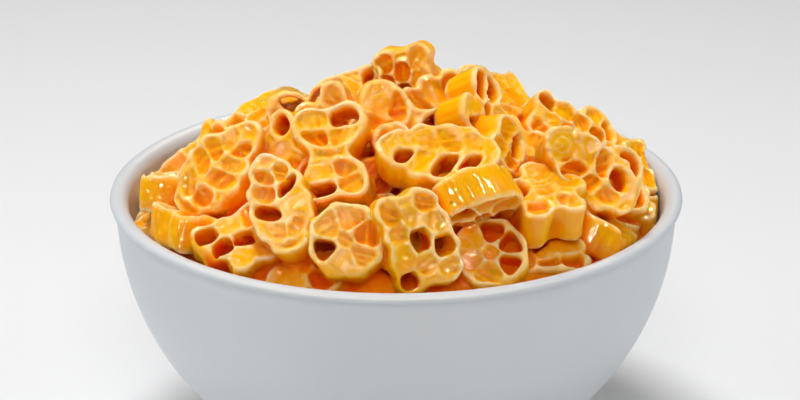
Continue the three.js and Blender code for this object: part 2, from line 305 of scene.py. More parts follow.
def fan():
    """Five lobes about a hub, with two panes along each and one at the hub."""
    hub = (0.0, -11.0)
    outline = [(-3.4, -10.4), (-5.6, -5.6), polar(14.0, -42, hub)]
    for a in (-32, -16, 0, 16, 32):
        outline += [polar(21.2, a - 4.5, hub), polar(21.2, a + 4.5, hub)]
        if a < 32:
            outline.append(polar(19.0, a + 8, hub))
    outline += [polar(14.0, 42, hub), (5.6, -5.6), (3.4, -10.4), (0.0, -11.2)]
    panes = [pane(0.0, -7.4, 4.0, 3.6)]
    for a in (-30, -15, 0, 15, 30):
        panes.append(sector(7.4, 12.2, a, 4.0, 5.6, hub))
        panes.append(sector(13.4, 18.6, a, 5.0, 6.0, hub))
    return outline, panes


def trefoil():
    """Three round lobes, each with two panes, round a middle one."""
    outline, panes = [], [ring(1.4, 5)]
    for a in range(0, 360, 120):
        centre = polar(5.6, a)
        outline.append(polar(4.4, a - 60))
        outline += [polar(6.4, a + b, centre) for b in (-84, -42, 0, 42, 84)]
        c, s = math.cos(math.radians(a)), math.sin(math.radians(a))
        for side in (-1, 1):
            near, far = side * 0.7, side * 3.9
            half = [(near, -4.0), (far, -2.2), (far, 2.2), (near, 4.0)]
            panes.append([(centre[0] + u * c + v * s, centre[1] - u * s + v * c) for u, v in half])
    return outline, panes


# Each kind's shape, and its half width and half height.
KINDS = {
    "waffle": (waffle, 8.5, 12.2),
    "wheel": (wheel, 10.6, 10.6),
    "flower": (flower, 11.0, 11.0),
    "leaf": (leaf, 8.2, 14.4),
    "bow": (bow, 8.6, 13.6),
    "fan": (fan, 12.0, 10.4),
    "trefoil": (trefoil, 10.8, 10.8),
}

# ---------------------------------------------------------------- where the pieces lie

# Kind, x, y, lift above the mound, and then the way that its face looks: bearing from the front,
# tilt above the horizon, and the turn of the piece about that direction.
CHOSEN = [
    ("waffle", 3, 6, 1, -14, 10, 12),
    ("bow", 3, -22, 0, 8, 30, 66),
    ("fan", 12, -10, -1, 10, 34, 25),
    ("leaf", 11, -44, 6, 4, 56, 82),
    ("leaf", -27, -50, 5, -20, 40, 31),
    ("waffle", 3, -63, 4, 16, 22, 13),
    ("leaf", -43, -25, 3, -25, 36, -27),
    ("waffle", -39, -53, 2, -18, 52, -52),
    ("bow", -14, -39, 4, -14, 44, 17),
    ("flower", -14, -15, 0, -8, 18, 10),
    ("trefoil", -23, -9, 0, -12, 18, 190),
    ("waffle", -33, -2, 0, -70, 62, 20),
    ("fan", -42, -13, 0, -40, 40, -10),
    ("flower", -26, -25, 0, -34, 24, 20),
    ("waffle", -56, -10, 0, 165, 72, 10),
    ("flower", -55, -33, 1, 150, 66, 10),
    ("wheel", -11, -60, 1, -4, 30, 20),
    ("trefoil", -3, -36, -1, 5, 25, 0),
    ("waffle", 24, 16, -1.2, 70, 50, 60),
    ("trefoil", 22, -19, 1, 60, 30, 80),
    ("waffle", 41, -6, 0, 40, 44, 38),
    ("flower", 30, -17, -3, 10, 50, 0),
    ("leaf", 46, -31, 5, 24, 34, 40),
    ("bow", 59, 14, 0.7, 64, 50, 20),
    ("wheel", 20, -52, 3, -150, 40, 20),
    ("wheel", 25, -61, 2, 6, 50, 20),
    ("fan", 42, -53, 2, 14, 58, -60),
    ("flower", 35, -38, -3, 20, 74, 0),
    ("bow", 59, -33, 0, 110, 60, 70),
    ("waffle", 69, 13, 0.9, 160, 70, 30),
    ("bow", 28, -28, -3, 70, 20, 10),
    ("trefoil", -23, -61, -1, -30, 50, 30),
]


def facing(bearing, tilt, turn):
    """Rotation whose z axis looks that way and whose y axis is up before the turn."""
    a, t, s = (math.radians(v) for v in (bearing, tilt, turn))
    normal = np.array([math.sin(a) * math.cos(t), -math.cos(a) * math.cos(t), math.sin(t)])
    up = np.array([0.0, 0.0, 1.0]) - normal * normal[2]
    up /= np.linalg.norm(up)
    right = np.cross(up, normal)
    x = math.cos(s) * right + math.sin(s) * up
    y = math.cos(s) * up - math.sin(s) * right
    return np.stack([x, y, normal], axis=1)


def balls(kind):
    """Centres of the balls, one piece thick, that stand for a piece when it looks for room."""
    _, half_width, half_height = KINDS[kind]
    found = [(0.0, 0.0, 0.0)]
    for degrees in range(0, 360, 45):
        a = math.radians(degrees)
        for share in (1.0, 0.5):
            x = share * (half_width - BALL) * math.sin(a)
            found.append((x, share * (half_height - BALL) * math.cos(a), 0.0))
    return np.array(found)


def kept_in(centre, offsets):
    """The centre, moved towards the bowl's axis until every ball is inside the bowl."""
    limit = INNER_RADIUS - GAP - BALL
    for _ in range(NUDGES):
        points = centre + offsets
        depth = np.minimum(points[:, 2] - BOWL_CENTRE, 0)
        over = np.sqrt(points[:, 0] ** 2 + points[:, 1] ** 2 + depth**2) - limit
        worst = int(np.argmax(over))
        if over[worst] <= 0:
            break
        away = points[worst] * (1, 1, 0) + (0, 0, depth[worst])
        centre = centre - away / np.linalg.norm(away) * (over[worst] + NUDGE_PAST)
    return centre


def above_mound(points):
    """How far balls stand too high."""
    return points[:, 2] - mound(points[:, 0], points[:, 1]) - PROUD


def crowding(points, taken, shown):
    """How much the balls push into other pieces, hide a chosen one or stick out of the mound."""
    apart = np.linalg.norm(points[:, None] - taken[None], axis=2)
    score = float((np.maximum(2 * BALL - SINK - apart, 0) ** 2).sum())
    score += STICKING_OUT * float((np.maximum(above_mound(points), 0) ** 2).sum())
    for centre, turn in shown:
        own = (points - centre) @ turn
        beside = np.hypot(own[:, 0], own[:, 1])
        before = (own[:, 2] > 0) & (own[:, 2] < CLEAR_BEFORE) & (beside < CLEAR_BESIDE)
        score += float((before * (CLEAR_BESIDE - beside)).sum()) * HIDING
    return score


def push(index, pieces):
    """How far the piece is pushed by the others that its balls cut into."""
    _, centre, _, offsets = pieces[index]
    total = np.zeros(3)
    for other, (_, middle, _, theirs) in enumerate(pieces):
        if other == index or np.linalg.norm(centre - middle) > 2 * REACH:
            continue
        apart = (offsets + centre)[:, None] - theirs[None] - middle
        length = np.linalg.norm(apart, axis=2)
        over = np.maximum(2 * BALL - SINK - length, 0)
        if over.max() > 0:
            pair = (apart * (over / length)[:, :, None]).sum(axis=(0, 1))
            total += pair / np.linalg.norm(pair) * over.max()
    return total


def settle(pieces):
    """Moves the pieces apart, a little at a time, so that they lie against each other."""
    for _ in range(ROUNDS):
        pushes = [push(index, pieces) for index in range(len(pieces))]
        for index, (kind, centre, spin, offsets) in enumerate(pieces):
            chosen = index < len(CHOSEN)
            centre = centre + pushes[index] * (FIRM if chosen else LOOSE)
            if not chosen:
                centre[2] -= max(above_mound(centre + offsets).max(), 0)
            pieces[index] = (kind, kept_in(centre, offsets), spin, offsets)


def chosen_pieces():
    """The pieces that the photo shows, as kind, centre, rotation and balls."""
    placed = []
    for kind, x, y, lift, bearing, tilt, turn in CHOSEN:
        spin = facing(bearing, tilt, turn)
        offsets = balls(kind) @ spin.T
        centre = kept_in(np.array([x, y, mound(x, y) + lift]), offsets)
        placed.append((kind, centre, spin, offsets))
    settle(placed)
    return placed


def filler(draw, radius, angle, taken, shown):
    """The least crowded of some ways of lying near a place on the mound, after its score."""
    names = list(KINDS)
    best = None
    for _ in range(TRIES):
        kind = names[int(draw.next() * len(names))]
        bearing = math.degrees(angle) + draw.between(-SWING, SWING)
        spin = facing(bearing, draw.between(*TILTS), draw.between(0, 360))
        x = radius * math.sin(angle) + draw.between(-STRAY, STRAY)
        y = -radius * math.cos(angle) + draw.between(-STRAY, STRAY)
        z = mound(x, y) + draw.between(-DROP, 0)
        offsets = balls(kind) @ spin.T
        centre = kept_in(np.array([x, y, z]), offsets)
        score = crowding(centre + offsets, np.concatenate(taken), shown)
        if best is None or score < best[0]:
            best = (score, (kind, centre, spin, offsets))
    return best


def placements():
    """Every piece: the chosen ones, then fillers where there is room."""
    placed = chosen_pieces()
    shown = [(centre, spin) for _, centre, spin, _ in placed]
    taken = [centre + offsets for _, centre, _, offsets in placed]
    draw = Draws(FILLER_SEED)
    for i in range(SPOTS):
        radius = SPREAD * math.sqrt((i + 0.5) / SPOTS)
        score, piece = filler(draw, radius, GOLDEN_ANGLE * i, taken, shown)
        if score <= TOO_CROWDED:
            placed.append(piece)
            _, centre, _, offsets = piece
            taken.append(centre + offsets)
    settle(placed)
    return placed


# ---------------------------------------------------------------- fields


def rounded(points):
    """Chaikin's corner cutting, which turns the outline's few points into a smooth curve."""
    p = np.array(points, float)
    for _ in range(CORNER_CUTS):
        q = np.roll(p, -1, axis=0)
        p = np.stack([0.75 * p + 0.25 * q, 0.25 * p + 0.75 * q], axis=1).reshape(-1, 2)
    return p


def polygon_distance(x, y, points):
    """Signed distance in the plane to a closed outline, below zero inside."""
    a = rounded(points)
    b = np.roll(a, -1, axis=0)
    best = np.full(x.shape, np.inf)
    inside = np.zeros(x.shape, bool)
    for (ax, ay), (bx, by) in zip(a, b):
        ex, ey = bx - ax, by - ay
        wx, wy = x - ax, y - ay
        t = np.clip((wx * ex + wy * ey) / (ex * ex + ey * ey), 0, 1)
        best = np.minimum(best, (wx - ex * t) ** 2 + (wy - ey * t) ** 2)
        crosses = (ay > y) != (by > y)
        inside ^= crosses & (wx < ex * wy / (ey if abs(ey) > TINY else TINY))
    d = np.sqrt(best)
    return np.where(inside, -d, d)


def smooth_max(a, b, k):
    """The greater of two fields, with a rounding about k wide where they meet."""
    h = np.clip(0.5 - 0.5 * (b - a) / k, 0, 1)
    return b + (a - b) * h + k * h * (1 - h)


def smooth_min(a, b, k):
    """The lesser of two fields, with a fillet about k wide where they meet."""
    return -smooth_max(-a, -b, k)


def softened(values, times):
    """The values after passes of averaging with the neighbours along each axis."""
    for _ in range(times):
        for axis in range(values.ndim):
            line = np.moveaxis(values, axis, 0)
            before = np.concatenate([line[:1], line[:-1]])
            after = np.concatenate([line[1:], line[-1:]])
            values = np.moveaxis(0.25 * before + 0.5 * line + 0.25 * after, 0, axis)
    return values


def read_grid(values, low, step, points):
    """Values on a regular grid of two or three axes, read between its points."""
    # The limit stays just short of the last grid point, so that there is always a next one.
    spots = [np.clip((p - low[k]) / step, 0, values.shape[k] - 1.001) for k, p in enumerate(points)]
    whole = [spot.astype(np.int32) for spot in spots]
    part = [(spot - base).astype(np.float32) for spot, base in zip(spots, whole)]
    total = 0.0
    for corner in range(2 ** len(points)):
        share, index = 1.0, []
        for k in range(len(points)):
            up = (corner >> k) & 1
            share = share * (part[k] if up else 1 - part[k])
            index.append(whole[k] + up)
        total = total + share * values[tuple(index)]
    return total


@cache
def flat_fields(kind):
    """The kind's outline and pane distances, worked out once on a grid in the plane."""
    outline, panes = KINDS[kind][0]()
    half = np.array([max(abs(p[k]) for p in outline) + FLAT_MARGIN for k in range(2)])
    count = np.ceil(2 * half / FLAT_STEP).astype(int) + 1
    x, y = np.meshgrid(*[FLAT_STEP * np.arange(n) - h for n, h in zip(count, half)], indexing="ij")
    out = polygon_distance(x, y, outline)
    each = [(polygon_distance(x, y, corners), np.mean(corners, axis=0)) for corners in panes]
    return half, x, y, out, each


def waves(p, draw, height, count, shortest, longest):
    """A smooth random field from a few plane waves, between about -height and height."""
    total = 0.0
    for _ in range(count):
        a, b = draw.between(0, 2 * math.pi), draw.between(-1, 1)
        c = math.sqrt(1 - b * b)
        k = 2 * math.pi / draw.between(shortest, longest)
        phase = draw.between(0, 2 * math.pi)
        total = total + np.sin(k * (p[0] * c * math.cos(a) + p[1] * c * math.sin(a) + p[2] * b) + phase)
    return height * (total / math.sqrt(count))


def fade(value, start, width):
    """From 0 where the value is at the start to 1 a width farther on."""
    return np.clip((value - start) / width, 0, 1)


class Pasta:
    """One piece: its field in its own coordinates, its mesh and how each vertex lies on it."""

    def __init__(self, kind, centre, spin, seed):
        self.centre, self.spin = centre, spin
        self.half, x, y, self.out, each = flat_fields(kind)
        draw = Draws(seed)
        self.half_t = THICKNESS / 2 * draw.between(*THICKNESSES)
        self.size = draw.between(*SIZES)
        self.bend = [draw.between(-most, most) for most in BENDS]
        self.layer = GRAIN_APART * seed
        draw.next()  # unused, as in the solids' source
        web = np.full(self.out.shape, NO_WEB)
        for d, middle in each:
            web = self.closed_pane(d - PANE_GROWTH, x - middle[0], y - middle[1], draw, web)
        self.recess = draw.between(*SINKS)
        self.web = softened(web, WEB_PASSES)
        nearest_pane = np.minimum.reduce([d for d, _ in each])
        self.solid = smooth_max(self.out, PANE_GROWTH - nearest_pane, PANE_ROUND)
        self.draws = draw.state  # the surface's waves start here each time that they are worked out

    def closed_pane(self, d, x, y, draw, web):
        """The half height of the web, with a ribbed floor in this pane if sauce closes it."""
        depth = SHALLOWEST + DEEPER * draw.next() ** 2
        a = draw.between(0, math.pi)
        if draw.next() < OPEN_SHARE:
            return web
        apart = RIBS_APART + RIBS_WIDER * depth
        across = (x * math.cos(a) + y * math.sin(a)) / apart
        rib = np.abs(across - np.round(across)) * apart < RIB_HALF_WIDTH
        return np.where(d < PANE_OVERLAP, self.half_t - np.where(rib, RIB_SHARE * depth, depth), web)

    def flattened(self, z, x, y):
        """Height above the bent middle surface."""
        return z - self.bend[0] * x * x - self.bend[1] * y * y - self.bend[2] * x * y

    def flat_place(self, p, draw):
        """Where a point lies on the kind's flat outline, which this piece warps a little."""
        return [p[k] / self.size + waves(p, draw, *WARP) for k in range(2)]

    def read_flat(self, values, place):
        """One of the flat grids, read at places on it."""
        return read_grid(values, -self.half, FLAT_STEP, place)

    def field(self, x, y, z):
        """Distance from the piece's surface, below zero inside it."""
        draw = Draws(self.draws)
        height = np.abs(self.flattened(z, x, y))
        place = self.flat_place((x, y, z), draw)
        out = self.size * self.read_flat(self.out, place)
        wall = self.size * self.read_flat(self.solid, place)
        lip = LIP_HEIGHT * np.exp(-(((wall + LIP_INSET) / LIP_WIDTH) ** 2))
        sunk = self.recess * fade(-wall, SINK_INSET, SINK_WIDTH)
        top = self.half_t + lip - sunk + waves((x, y, z), draw, *SWELL)
        body = smooth_max(wall, height - top, EDGE_ROUND)
        web = height - self.read_flat(self.web, place) + self.half_t - top
        web = smooth_max(out + WEB_INSET, web, WEB_ROUND)
        return smooth_min(body, web, WEB_FILLET) - waves((x, y, z), draw, *DIMPLES)

    def make(self):
        """The field on a grid, its surface in the part's frame, and the surface's tones."""
        reach = np.array([*(self.half * self.size - EDGE_TRIM), self.half_t + FACE_MARGIN])
        self.low = -reach
        count = np.ceil(2 * reach / VOXEL).astype(int) + 1
        axes = [self.low[k] + VOXEL * np.arange(count[k]) for k in range(3)]
        x, y, z = np.meshgrid(*axes, indexing="ij")
        world = np.stack([x, y, z], axis=-1) @ self.spin.T + self.centre
        self.values = smooth_max(self.field(x, y, z), past_bowl(*np.moveaxis(world, -1, 0)), BOWL_ROUND)
        buried = core_height(world[..., 0], world[..., 1]) - BURIED - world[..., 2]
        points, faces = surface(np.maximum(self.values, buried), self.low, VOXEL, PASTA_ADAPTIVITY)
        grain = points * (1, 1, GRAIN_ALONG) + (0, 0, self.layer)
        return points @ self.spin.T + self.centre, faces, self.tones(*points.T), grain

    def tones(self, x, y, z):
        """How much of the face's colour each point has, how hollow it is and how deep in a pane.

        The third tone stays zero here, because it depends on the whole heap.
        """
        below = self.half_t - np.abs(self.flattened(z, x, y))
        face = fade(-below, -FACE_DEPTH, FACE_FADE)
        place = self.flat_place((x, y, z), Draws(self.draws))
        out = self.size * self.read_flat(self.out, place)
        is_open = self.read_flat(self.web, place) < 0
        depth = np.where(is_open, (below - OPEN_DEPTH) / OPEN_FADE, (below - CLOSED_DEPTH) / CLOSED_FADE)
        # How deep a point lies in a hole or pane, where the material paints shade.
        inside = fade(-out, INSIDE_DEPTH, INSIDE_FADE) * np.clip(depth, 0, 1)
        filled = np.clip(0.5 - self.values / VOXEL, 0, 1)  # share of each voxel that is pasta
        hollow = read_grid(softened(filled, CURVE_PASSES), self.low, VOXEL, (x, y, z))
        return np.stack([face, hollow, np.zeros(len(x)), inside], axis=1)


def surface(values, low, step, adaptivity):
    """Vertices and triangles where the field on a grid is zero, by OpenVDB's volume mesher."""
    grid = openvdb.FloatGrid(float(values.max()))
    grid.copyFromArray(np.ascontiguousarray(values, np.float32))
    points, triangles, quads = grid.convertToPolygons(isovalue=0.0, adaptivity=adaptivity)
    points = np.asarray(points, float) * step + low
    quads = np.asarray(quads, np.int64).reshape(-1, 4)
    triangles = np.asarray(triangles, np.int64).reshape(-1, 3)
    both = np.concatenate([quads[:, [0, 1, 2]], quads[:, [0, 2, 3]], triangles])
    return points, both[:, ::-1]


class Heap:
    """A grid in the part's frame that all the pieces and the core are gathered in."""

    def __init__(self):
        self.low = np.array(HEAP_LOW)
        count = np.ceil((np.array(HEAP_HIGH) - self.low) / HEAP_STEP).astype(int) + 1
        self.axes = [self.low[k] + HEAP_STEP * np.arange(count[k]) for k in range(3)]
        x, y = np.meshgrid(self.axes[0], self.axes[1], indexing="ij")
        top = core_height(x, y)
        self.values = np.minimum(CORE_SLOPE * (self.axes[2][None, None, :] - top[:, :, None]), FAR)

    def add(self, piece):
        """Joins a piece's field to the heap's, with sauce drawn into the corners between."""
        reach = np.abs(piece.spin) @ -piece.low
        spans = []
        for k in range(3):
            low = int((piece.centre[k] - reach[k] - self.low[k]) / HEAP_STEP)
            high = int((piece.centre[k] + reach[k] - self.low[k]) / HEAP_STEP) + 2
            spans.append(slice(max(low, 0), min(high, len(self.axes[k]))))
        axes = [self.axes[k][spans[k]] for k in range(3)]
        world = np.stack(np.meshgrid(*axes, indexing="ij"), axis=-1)
        own = (world - piece.centre) @ piece.spin
        inside = np.all(np.abs(own) < -piece.low, axis=-1)
        read = read_grid(piece.values, piece.low, VOXEL, [own[..., k] for k in range(3)])
        read = np.where(inside, np.minimum(read, FAR), FAR)
        self.values[tuple(spans)] = smooth_min(self.values[tuple(spans)], read, SAUCE_FILLET)

    def find_crevices(self):
        """Works out how much of each place's surroundings is filled, once every piece is in."""
        self.filled = softened((self.values < 0).astype(np.float32), CREVICE_PASSES)

    def closeness(self, points):
        """How closed in the points are, from 0 to 1."""
        return read_grid(self.filled, self.low, HEAP_STEP, points.T)


# ---------------------------------------------------------------- meshes


def mesh_piece(name, points, faces, tones=None, grain=None):
    """A smooth-shaded object from points in millimetres."""
    mesh = bpy.data.meshes.new(name)
    mesh.vertices.add(len(points))
    mesh.vertices.foreach_set("co", (np.asarray(points) * MM).astype(np.float32).ravel())
    faces = np.asarray(faces)
    mesh.loops.add(faces.size)
    mesh.loops.foreach_set("vertex_index", faces.astype(np.int32).ravel())
    mesh.polygons.add(len(faces))
    mesh.polygons.foreach_set("loop_start", np.arange(0, faces.size, faces.shape[1], dtype=np.int32))
    if tones is not None:
        layer = mesh.color_attributes.new("tones", "FLOAT_COLOR", "POINT")
        layer.data.foreach_set("color", tones.astype(np.float32).ravel())
    if grain is not None:
        layer = mesh.attributes.new("grain", "FLOAT_VECTOR", "POINT")
        layer.data.foreach_set("vector", grain.astype(np.float32).ravel())
    mesh.update(calc_edges=True)
    mesh.validate()
    mesh.shade_smooth()
    piece = bpy.data.objects.new(name, mesh)
    bpy.context.scene.collection.objects.link(piece)
    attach(piece, "root")
    return piece


def lay_pasta(heap):
    """Every piece's mesh, gathered by kind, with the heap's field filled in."""
    gathered = {kind: [] for kind in KINDS}
    for index, (kind, centre, spin, _) in enumerate(placements()):
        piece = Pasta(kind, centre, spin, FIRST_SEED + NEXT_SEED * index)
        gathered[kind].append(piece.make())
        heap.add(piece)
    heap.find_crevices()
    return gathered


def make_pasta(kind, parts, heap):
    """One object for a kind of pasta, its pieces joined."""
    points, faces, tones, grain = zip(*parts)
    starts = np.cumsum([0] + [len(each) for each in points])
    faces = np.concatenate([each + start for each, start in zip(faces, starts)])
    points, tones, grain = (np.concatenate(layer) for layer in (points, tones, grain))
    # How closed in each point is, where the material paints shade.
    tones[:, 2] = heap.closeness(points)
    piece = mesh_piece("pasta_" + kind, points, faces, tones, grain)
    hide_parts("macaroni_heap")
    return piece


def make_sauce(heap):
    """Sauce in the corners between the pieces: the heap's field a little smaller than the pieces."""
    x, y, z = np.meshgrid(*heap.axes, indexing="ij")
    end = np.full(heap.values.shape, -1.0)
    end[:, :, :2] = 1.0  # closes the sauce at the bottom of the grid
    values = np.maximum.reduce([heap.values + SAUCE_BELOW, past_bowl(x, y, z), end])
    points, faces = surface(values, heap.low, HEAP_STEP, SAUCE_ADAPTIVITY)
    tones = np.zeros((len(points), 4))
    tones[:, 1] = LEVEL
    # How closed in each point is, where the material paints shade.
    tones[:, 2] = heap.closeness(points)
    piece = mesh_piece("cheese_sauce", points, faces, tones, points)
    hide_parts("macaroni_heap")
    return piece


def lathe(name, profile, sides):
    """A turned solid from (radius, height) points that start and end on the axis."""
    profile = np.array(profile)
    middle = profile[1:-1]
    a = 2 * math.pi * np.arange(sides) / sides
    x = np.outer(np.sin(a), middle[:, 0])
    y = np.outer(-np.cos(a), middle[:, 0])
    z = np.tile(middle[:, 1], (sides, 1))
    ends = [[0, 0, profile[0][1]], [0, 0, profile[-1][1]]]
    points = np.concatenate([np.stack([x, y, z], axis=-1).reshape(-1, 3), ends])
    count = len(middle)
    first_end, last_end = sides * count, sides * count + 1
    faces = []
    for i in range(sides):
        here, there = i * count, (i + 1) % sides * count
        for k in range(count - 1):
            faces.append((here + k, there + k, there + k + 1))
            faces.append((here + k, there + k + 1, here + k + 1))
        faces.append((here, first_end, there))
        faces.append((here + count - 1, there + count - 1, last_end))
    return mesh_piece(name, points, faces)


def wall_arc(radius, start, end):
    """Points of an arc about the bowl's centre, between two angles from straight down."""
    a = np.linspace(start, end, WALL_STEPS + 1)
    return [(radius * math.sin(v), BOWL_CENTRE - radius * math.cos(v)) for v in a]


def make_bowl():
    """The bowl, from the middle of the underside up the outside and down the inside."""
    outer_start = math.asin(FOOT_RADIUS / OUTER_RADIUS)
    inner_start = math.acos((BOWL_CENTRE - FLOOR_HEIGHT) / INNER_RADIUS)
    profile = [(0, FOOT_RECESS)]
    profile += [(FOOT_RADIUS - 5, FOOT_RECESS), (FOOT_RADIUS - 4, 0), (FOOT_RADIUS - 1, 0)]
    profile += wall_arc(OUTER_RADIUS, outer_start, WALL_TOP)
    profile += [(OUTER_RADIUS + x, RIM_HEIGHT + z) for x, z in LIP_OUTSIDE + LIP_INSIDE]
    profile += wall_arc(INNER_RADIUS, math.pi / 2, inner_start)
    profile.append((0, FLOOR_HEIGHT))
    piece = lathe("bowl_glazed", profile, BOWL_SIDES)
    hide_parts("bowl")
    return piece


# ---------------------------------------------------------------- materials


class Paint:
    """A new material, with short ways to add nodes to it."""

    MIX_COLOURS = (6, 7)  # the colour inputs among those of a mix node, and the colour output
    MIX_RESULT = 2

    def __init__(self, name):
        self.material = bpy.data.materials.new(name)
        self.material.use_nodes = True
        self.nodes = self.material.node_tree.nodes
        self.links = self.material.node_tree.links
        self.shader = self.nodes["Principled BSDF"]

    def give(self, node, name, value):
        """Links a node's input to a socket, or sets it to a number, a vector or a colour."""
        socket = node.inputs[name]
        if isinstance(value, bpy.types.NodeSocket):
            self.links.new(value, socket)
        elif socket.type == "RGBA":
            socket.default_value = (*value, 1)
        else:
            socket.default_value = value

    def shade(self, name, value):
        """Gives one of the shader's inputs a value or a socket."""
        self.give(self.shader, name, value)

    def place(self):
        """Places on the object, in metres."""
        return self.nodes.new("ShaderNodeTexCoord").outputs["Object"]

    def layer(self, name):
        """A layer of the mesh, as a node."""
        node = self.nodes.new("ShaderNodeAttribute")
        node.attribute_name = name
        return node

    def blend(self, factor, first, second):
        """Two colours, each a tuple or a socket, mixed by a socket's value."""
        node = self.nodes.new("ShaderNodeMix")
        node.data_type = "RGBA"
        self.give(node, "Factor", factor)
        for socket, colour in zip(self.MIX_COLOURS, (first, second)):
            self.give(node, socket, colour)
        return node.outputs[self.MIX_RESULT]

    def ramp(self, value, low, high):
        """The value taken from low..high to 0..1, and kept there."""
        node = self.nodes.new("ShaderNodeMapRange")
        self.give(node, "Value", value)
        self.give(node, "From Min", low)
        self.give(node, "From Max", high)
        return node.outputs["Result"]

    def noise(self, place, scale, detail=2.0):
        """Soft random lumps, so many to each unit of the place, from 0 to 1."""
        node = self.nodes.new("ShaderNodeTexNoise")
        self.give(node, "Vector", place)
        self.give(node, "Scale", scale)
        self.give(node, "Detail", detail)
        return node.outputs["Fac"]

    def reckon(self, operation, *values):
        """A sum on numbers and sockets."""
        node = self.nodes.new("ShaderNodeMath")
        node.operation = operation
        for index, value in enumerate(values):
            self.give(node, index, value)
        return node.outputs["Value"]

    def bump(self, height, distance, strength, under=None):
        """A surface normal moved by a height of up to a distance, on top of another normal."""
        node = self.nodes.new("ShaderNodeBump")
        self.give(node, "Height", height)
        self.give(node, "Distance", distance * MM)
        self.give(node, "Strength", strength)
        if under is not None:
            self.give(node, "Normal", under)
        return node.outputs["Normal"]


# Lumps of noise to each metre of the object.
CLOUDS = 22.0
SMEARS = 35.0
GLAZE_WAVES = 120.0
WET_PATCHES = 45.0
DROPLETS = 400.0
ROUGHENING = 900.0

# Lumps of noise to each millimetre of a piece's grain.
BANDS = 0.2
STREAKS = 0.55
SWELLINGS = 0.9

# Linear colours.
GLAZE_DARK = (0.57, 0.6, 0.632)
GLAZE_LIGHT = (0.592, 0.618, 0.645)
SIDE = (0.94, 0.37, 0.001)
GOLD = (0.95, 0.47, 0.003)  # the streaks down the sides
FACE = (0.94, 0.46, 0.002)
PALE_AND_HIGHLIGHT = (0.97, 0.63, 0.25)  # the ridges' own cream, and painted highlight on the edges
HOLLOW_SHADE = (0.95, 0.31, 0.003)  # painted shade in the hollows
CREVICE_SHADE = (0.86, 0.11, 0.003)  # painted shade between the pieces and deep in the panes


def plain_material(name, colour, roughness):
    paint = Paint(name)
    paint.shade("Base Color", colour)
    paint.shade("Roughness", roughness)
    return paint.material


def glaze_material(name):
    """White glaze with faint cloudy changes of tone and gloss, and a very slight unevenness."""
    paint = Paint(name)
    place = paint.place()
    clouds = paint.ramp(paint.noise(place, CLOUDS, detail=1.0), low=0.3, high=0.7)
    paint.shade("Base Color", paint.blend(clouds, GLAZE_DARK, GLAZE_LIGHT))
    duller = paint.reckon("MULTIPLY", paint.noise(place, SMEARS, detail=0.0), 0.06)
    paint.shade("Roughness", paint.reckon("ADD", duller, 0.4))
    unevenness = paint.noise(place, GLAZE_WAVES, detail=0.0)
    paint.shade("Normal", paint.bump(unevenness, distance=0.02, strength=0.2))
    return paint.material


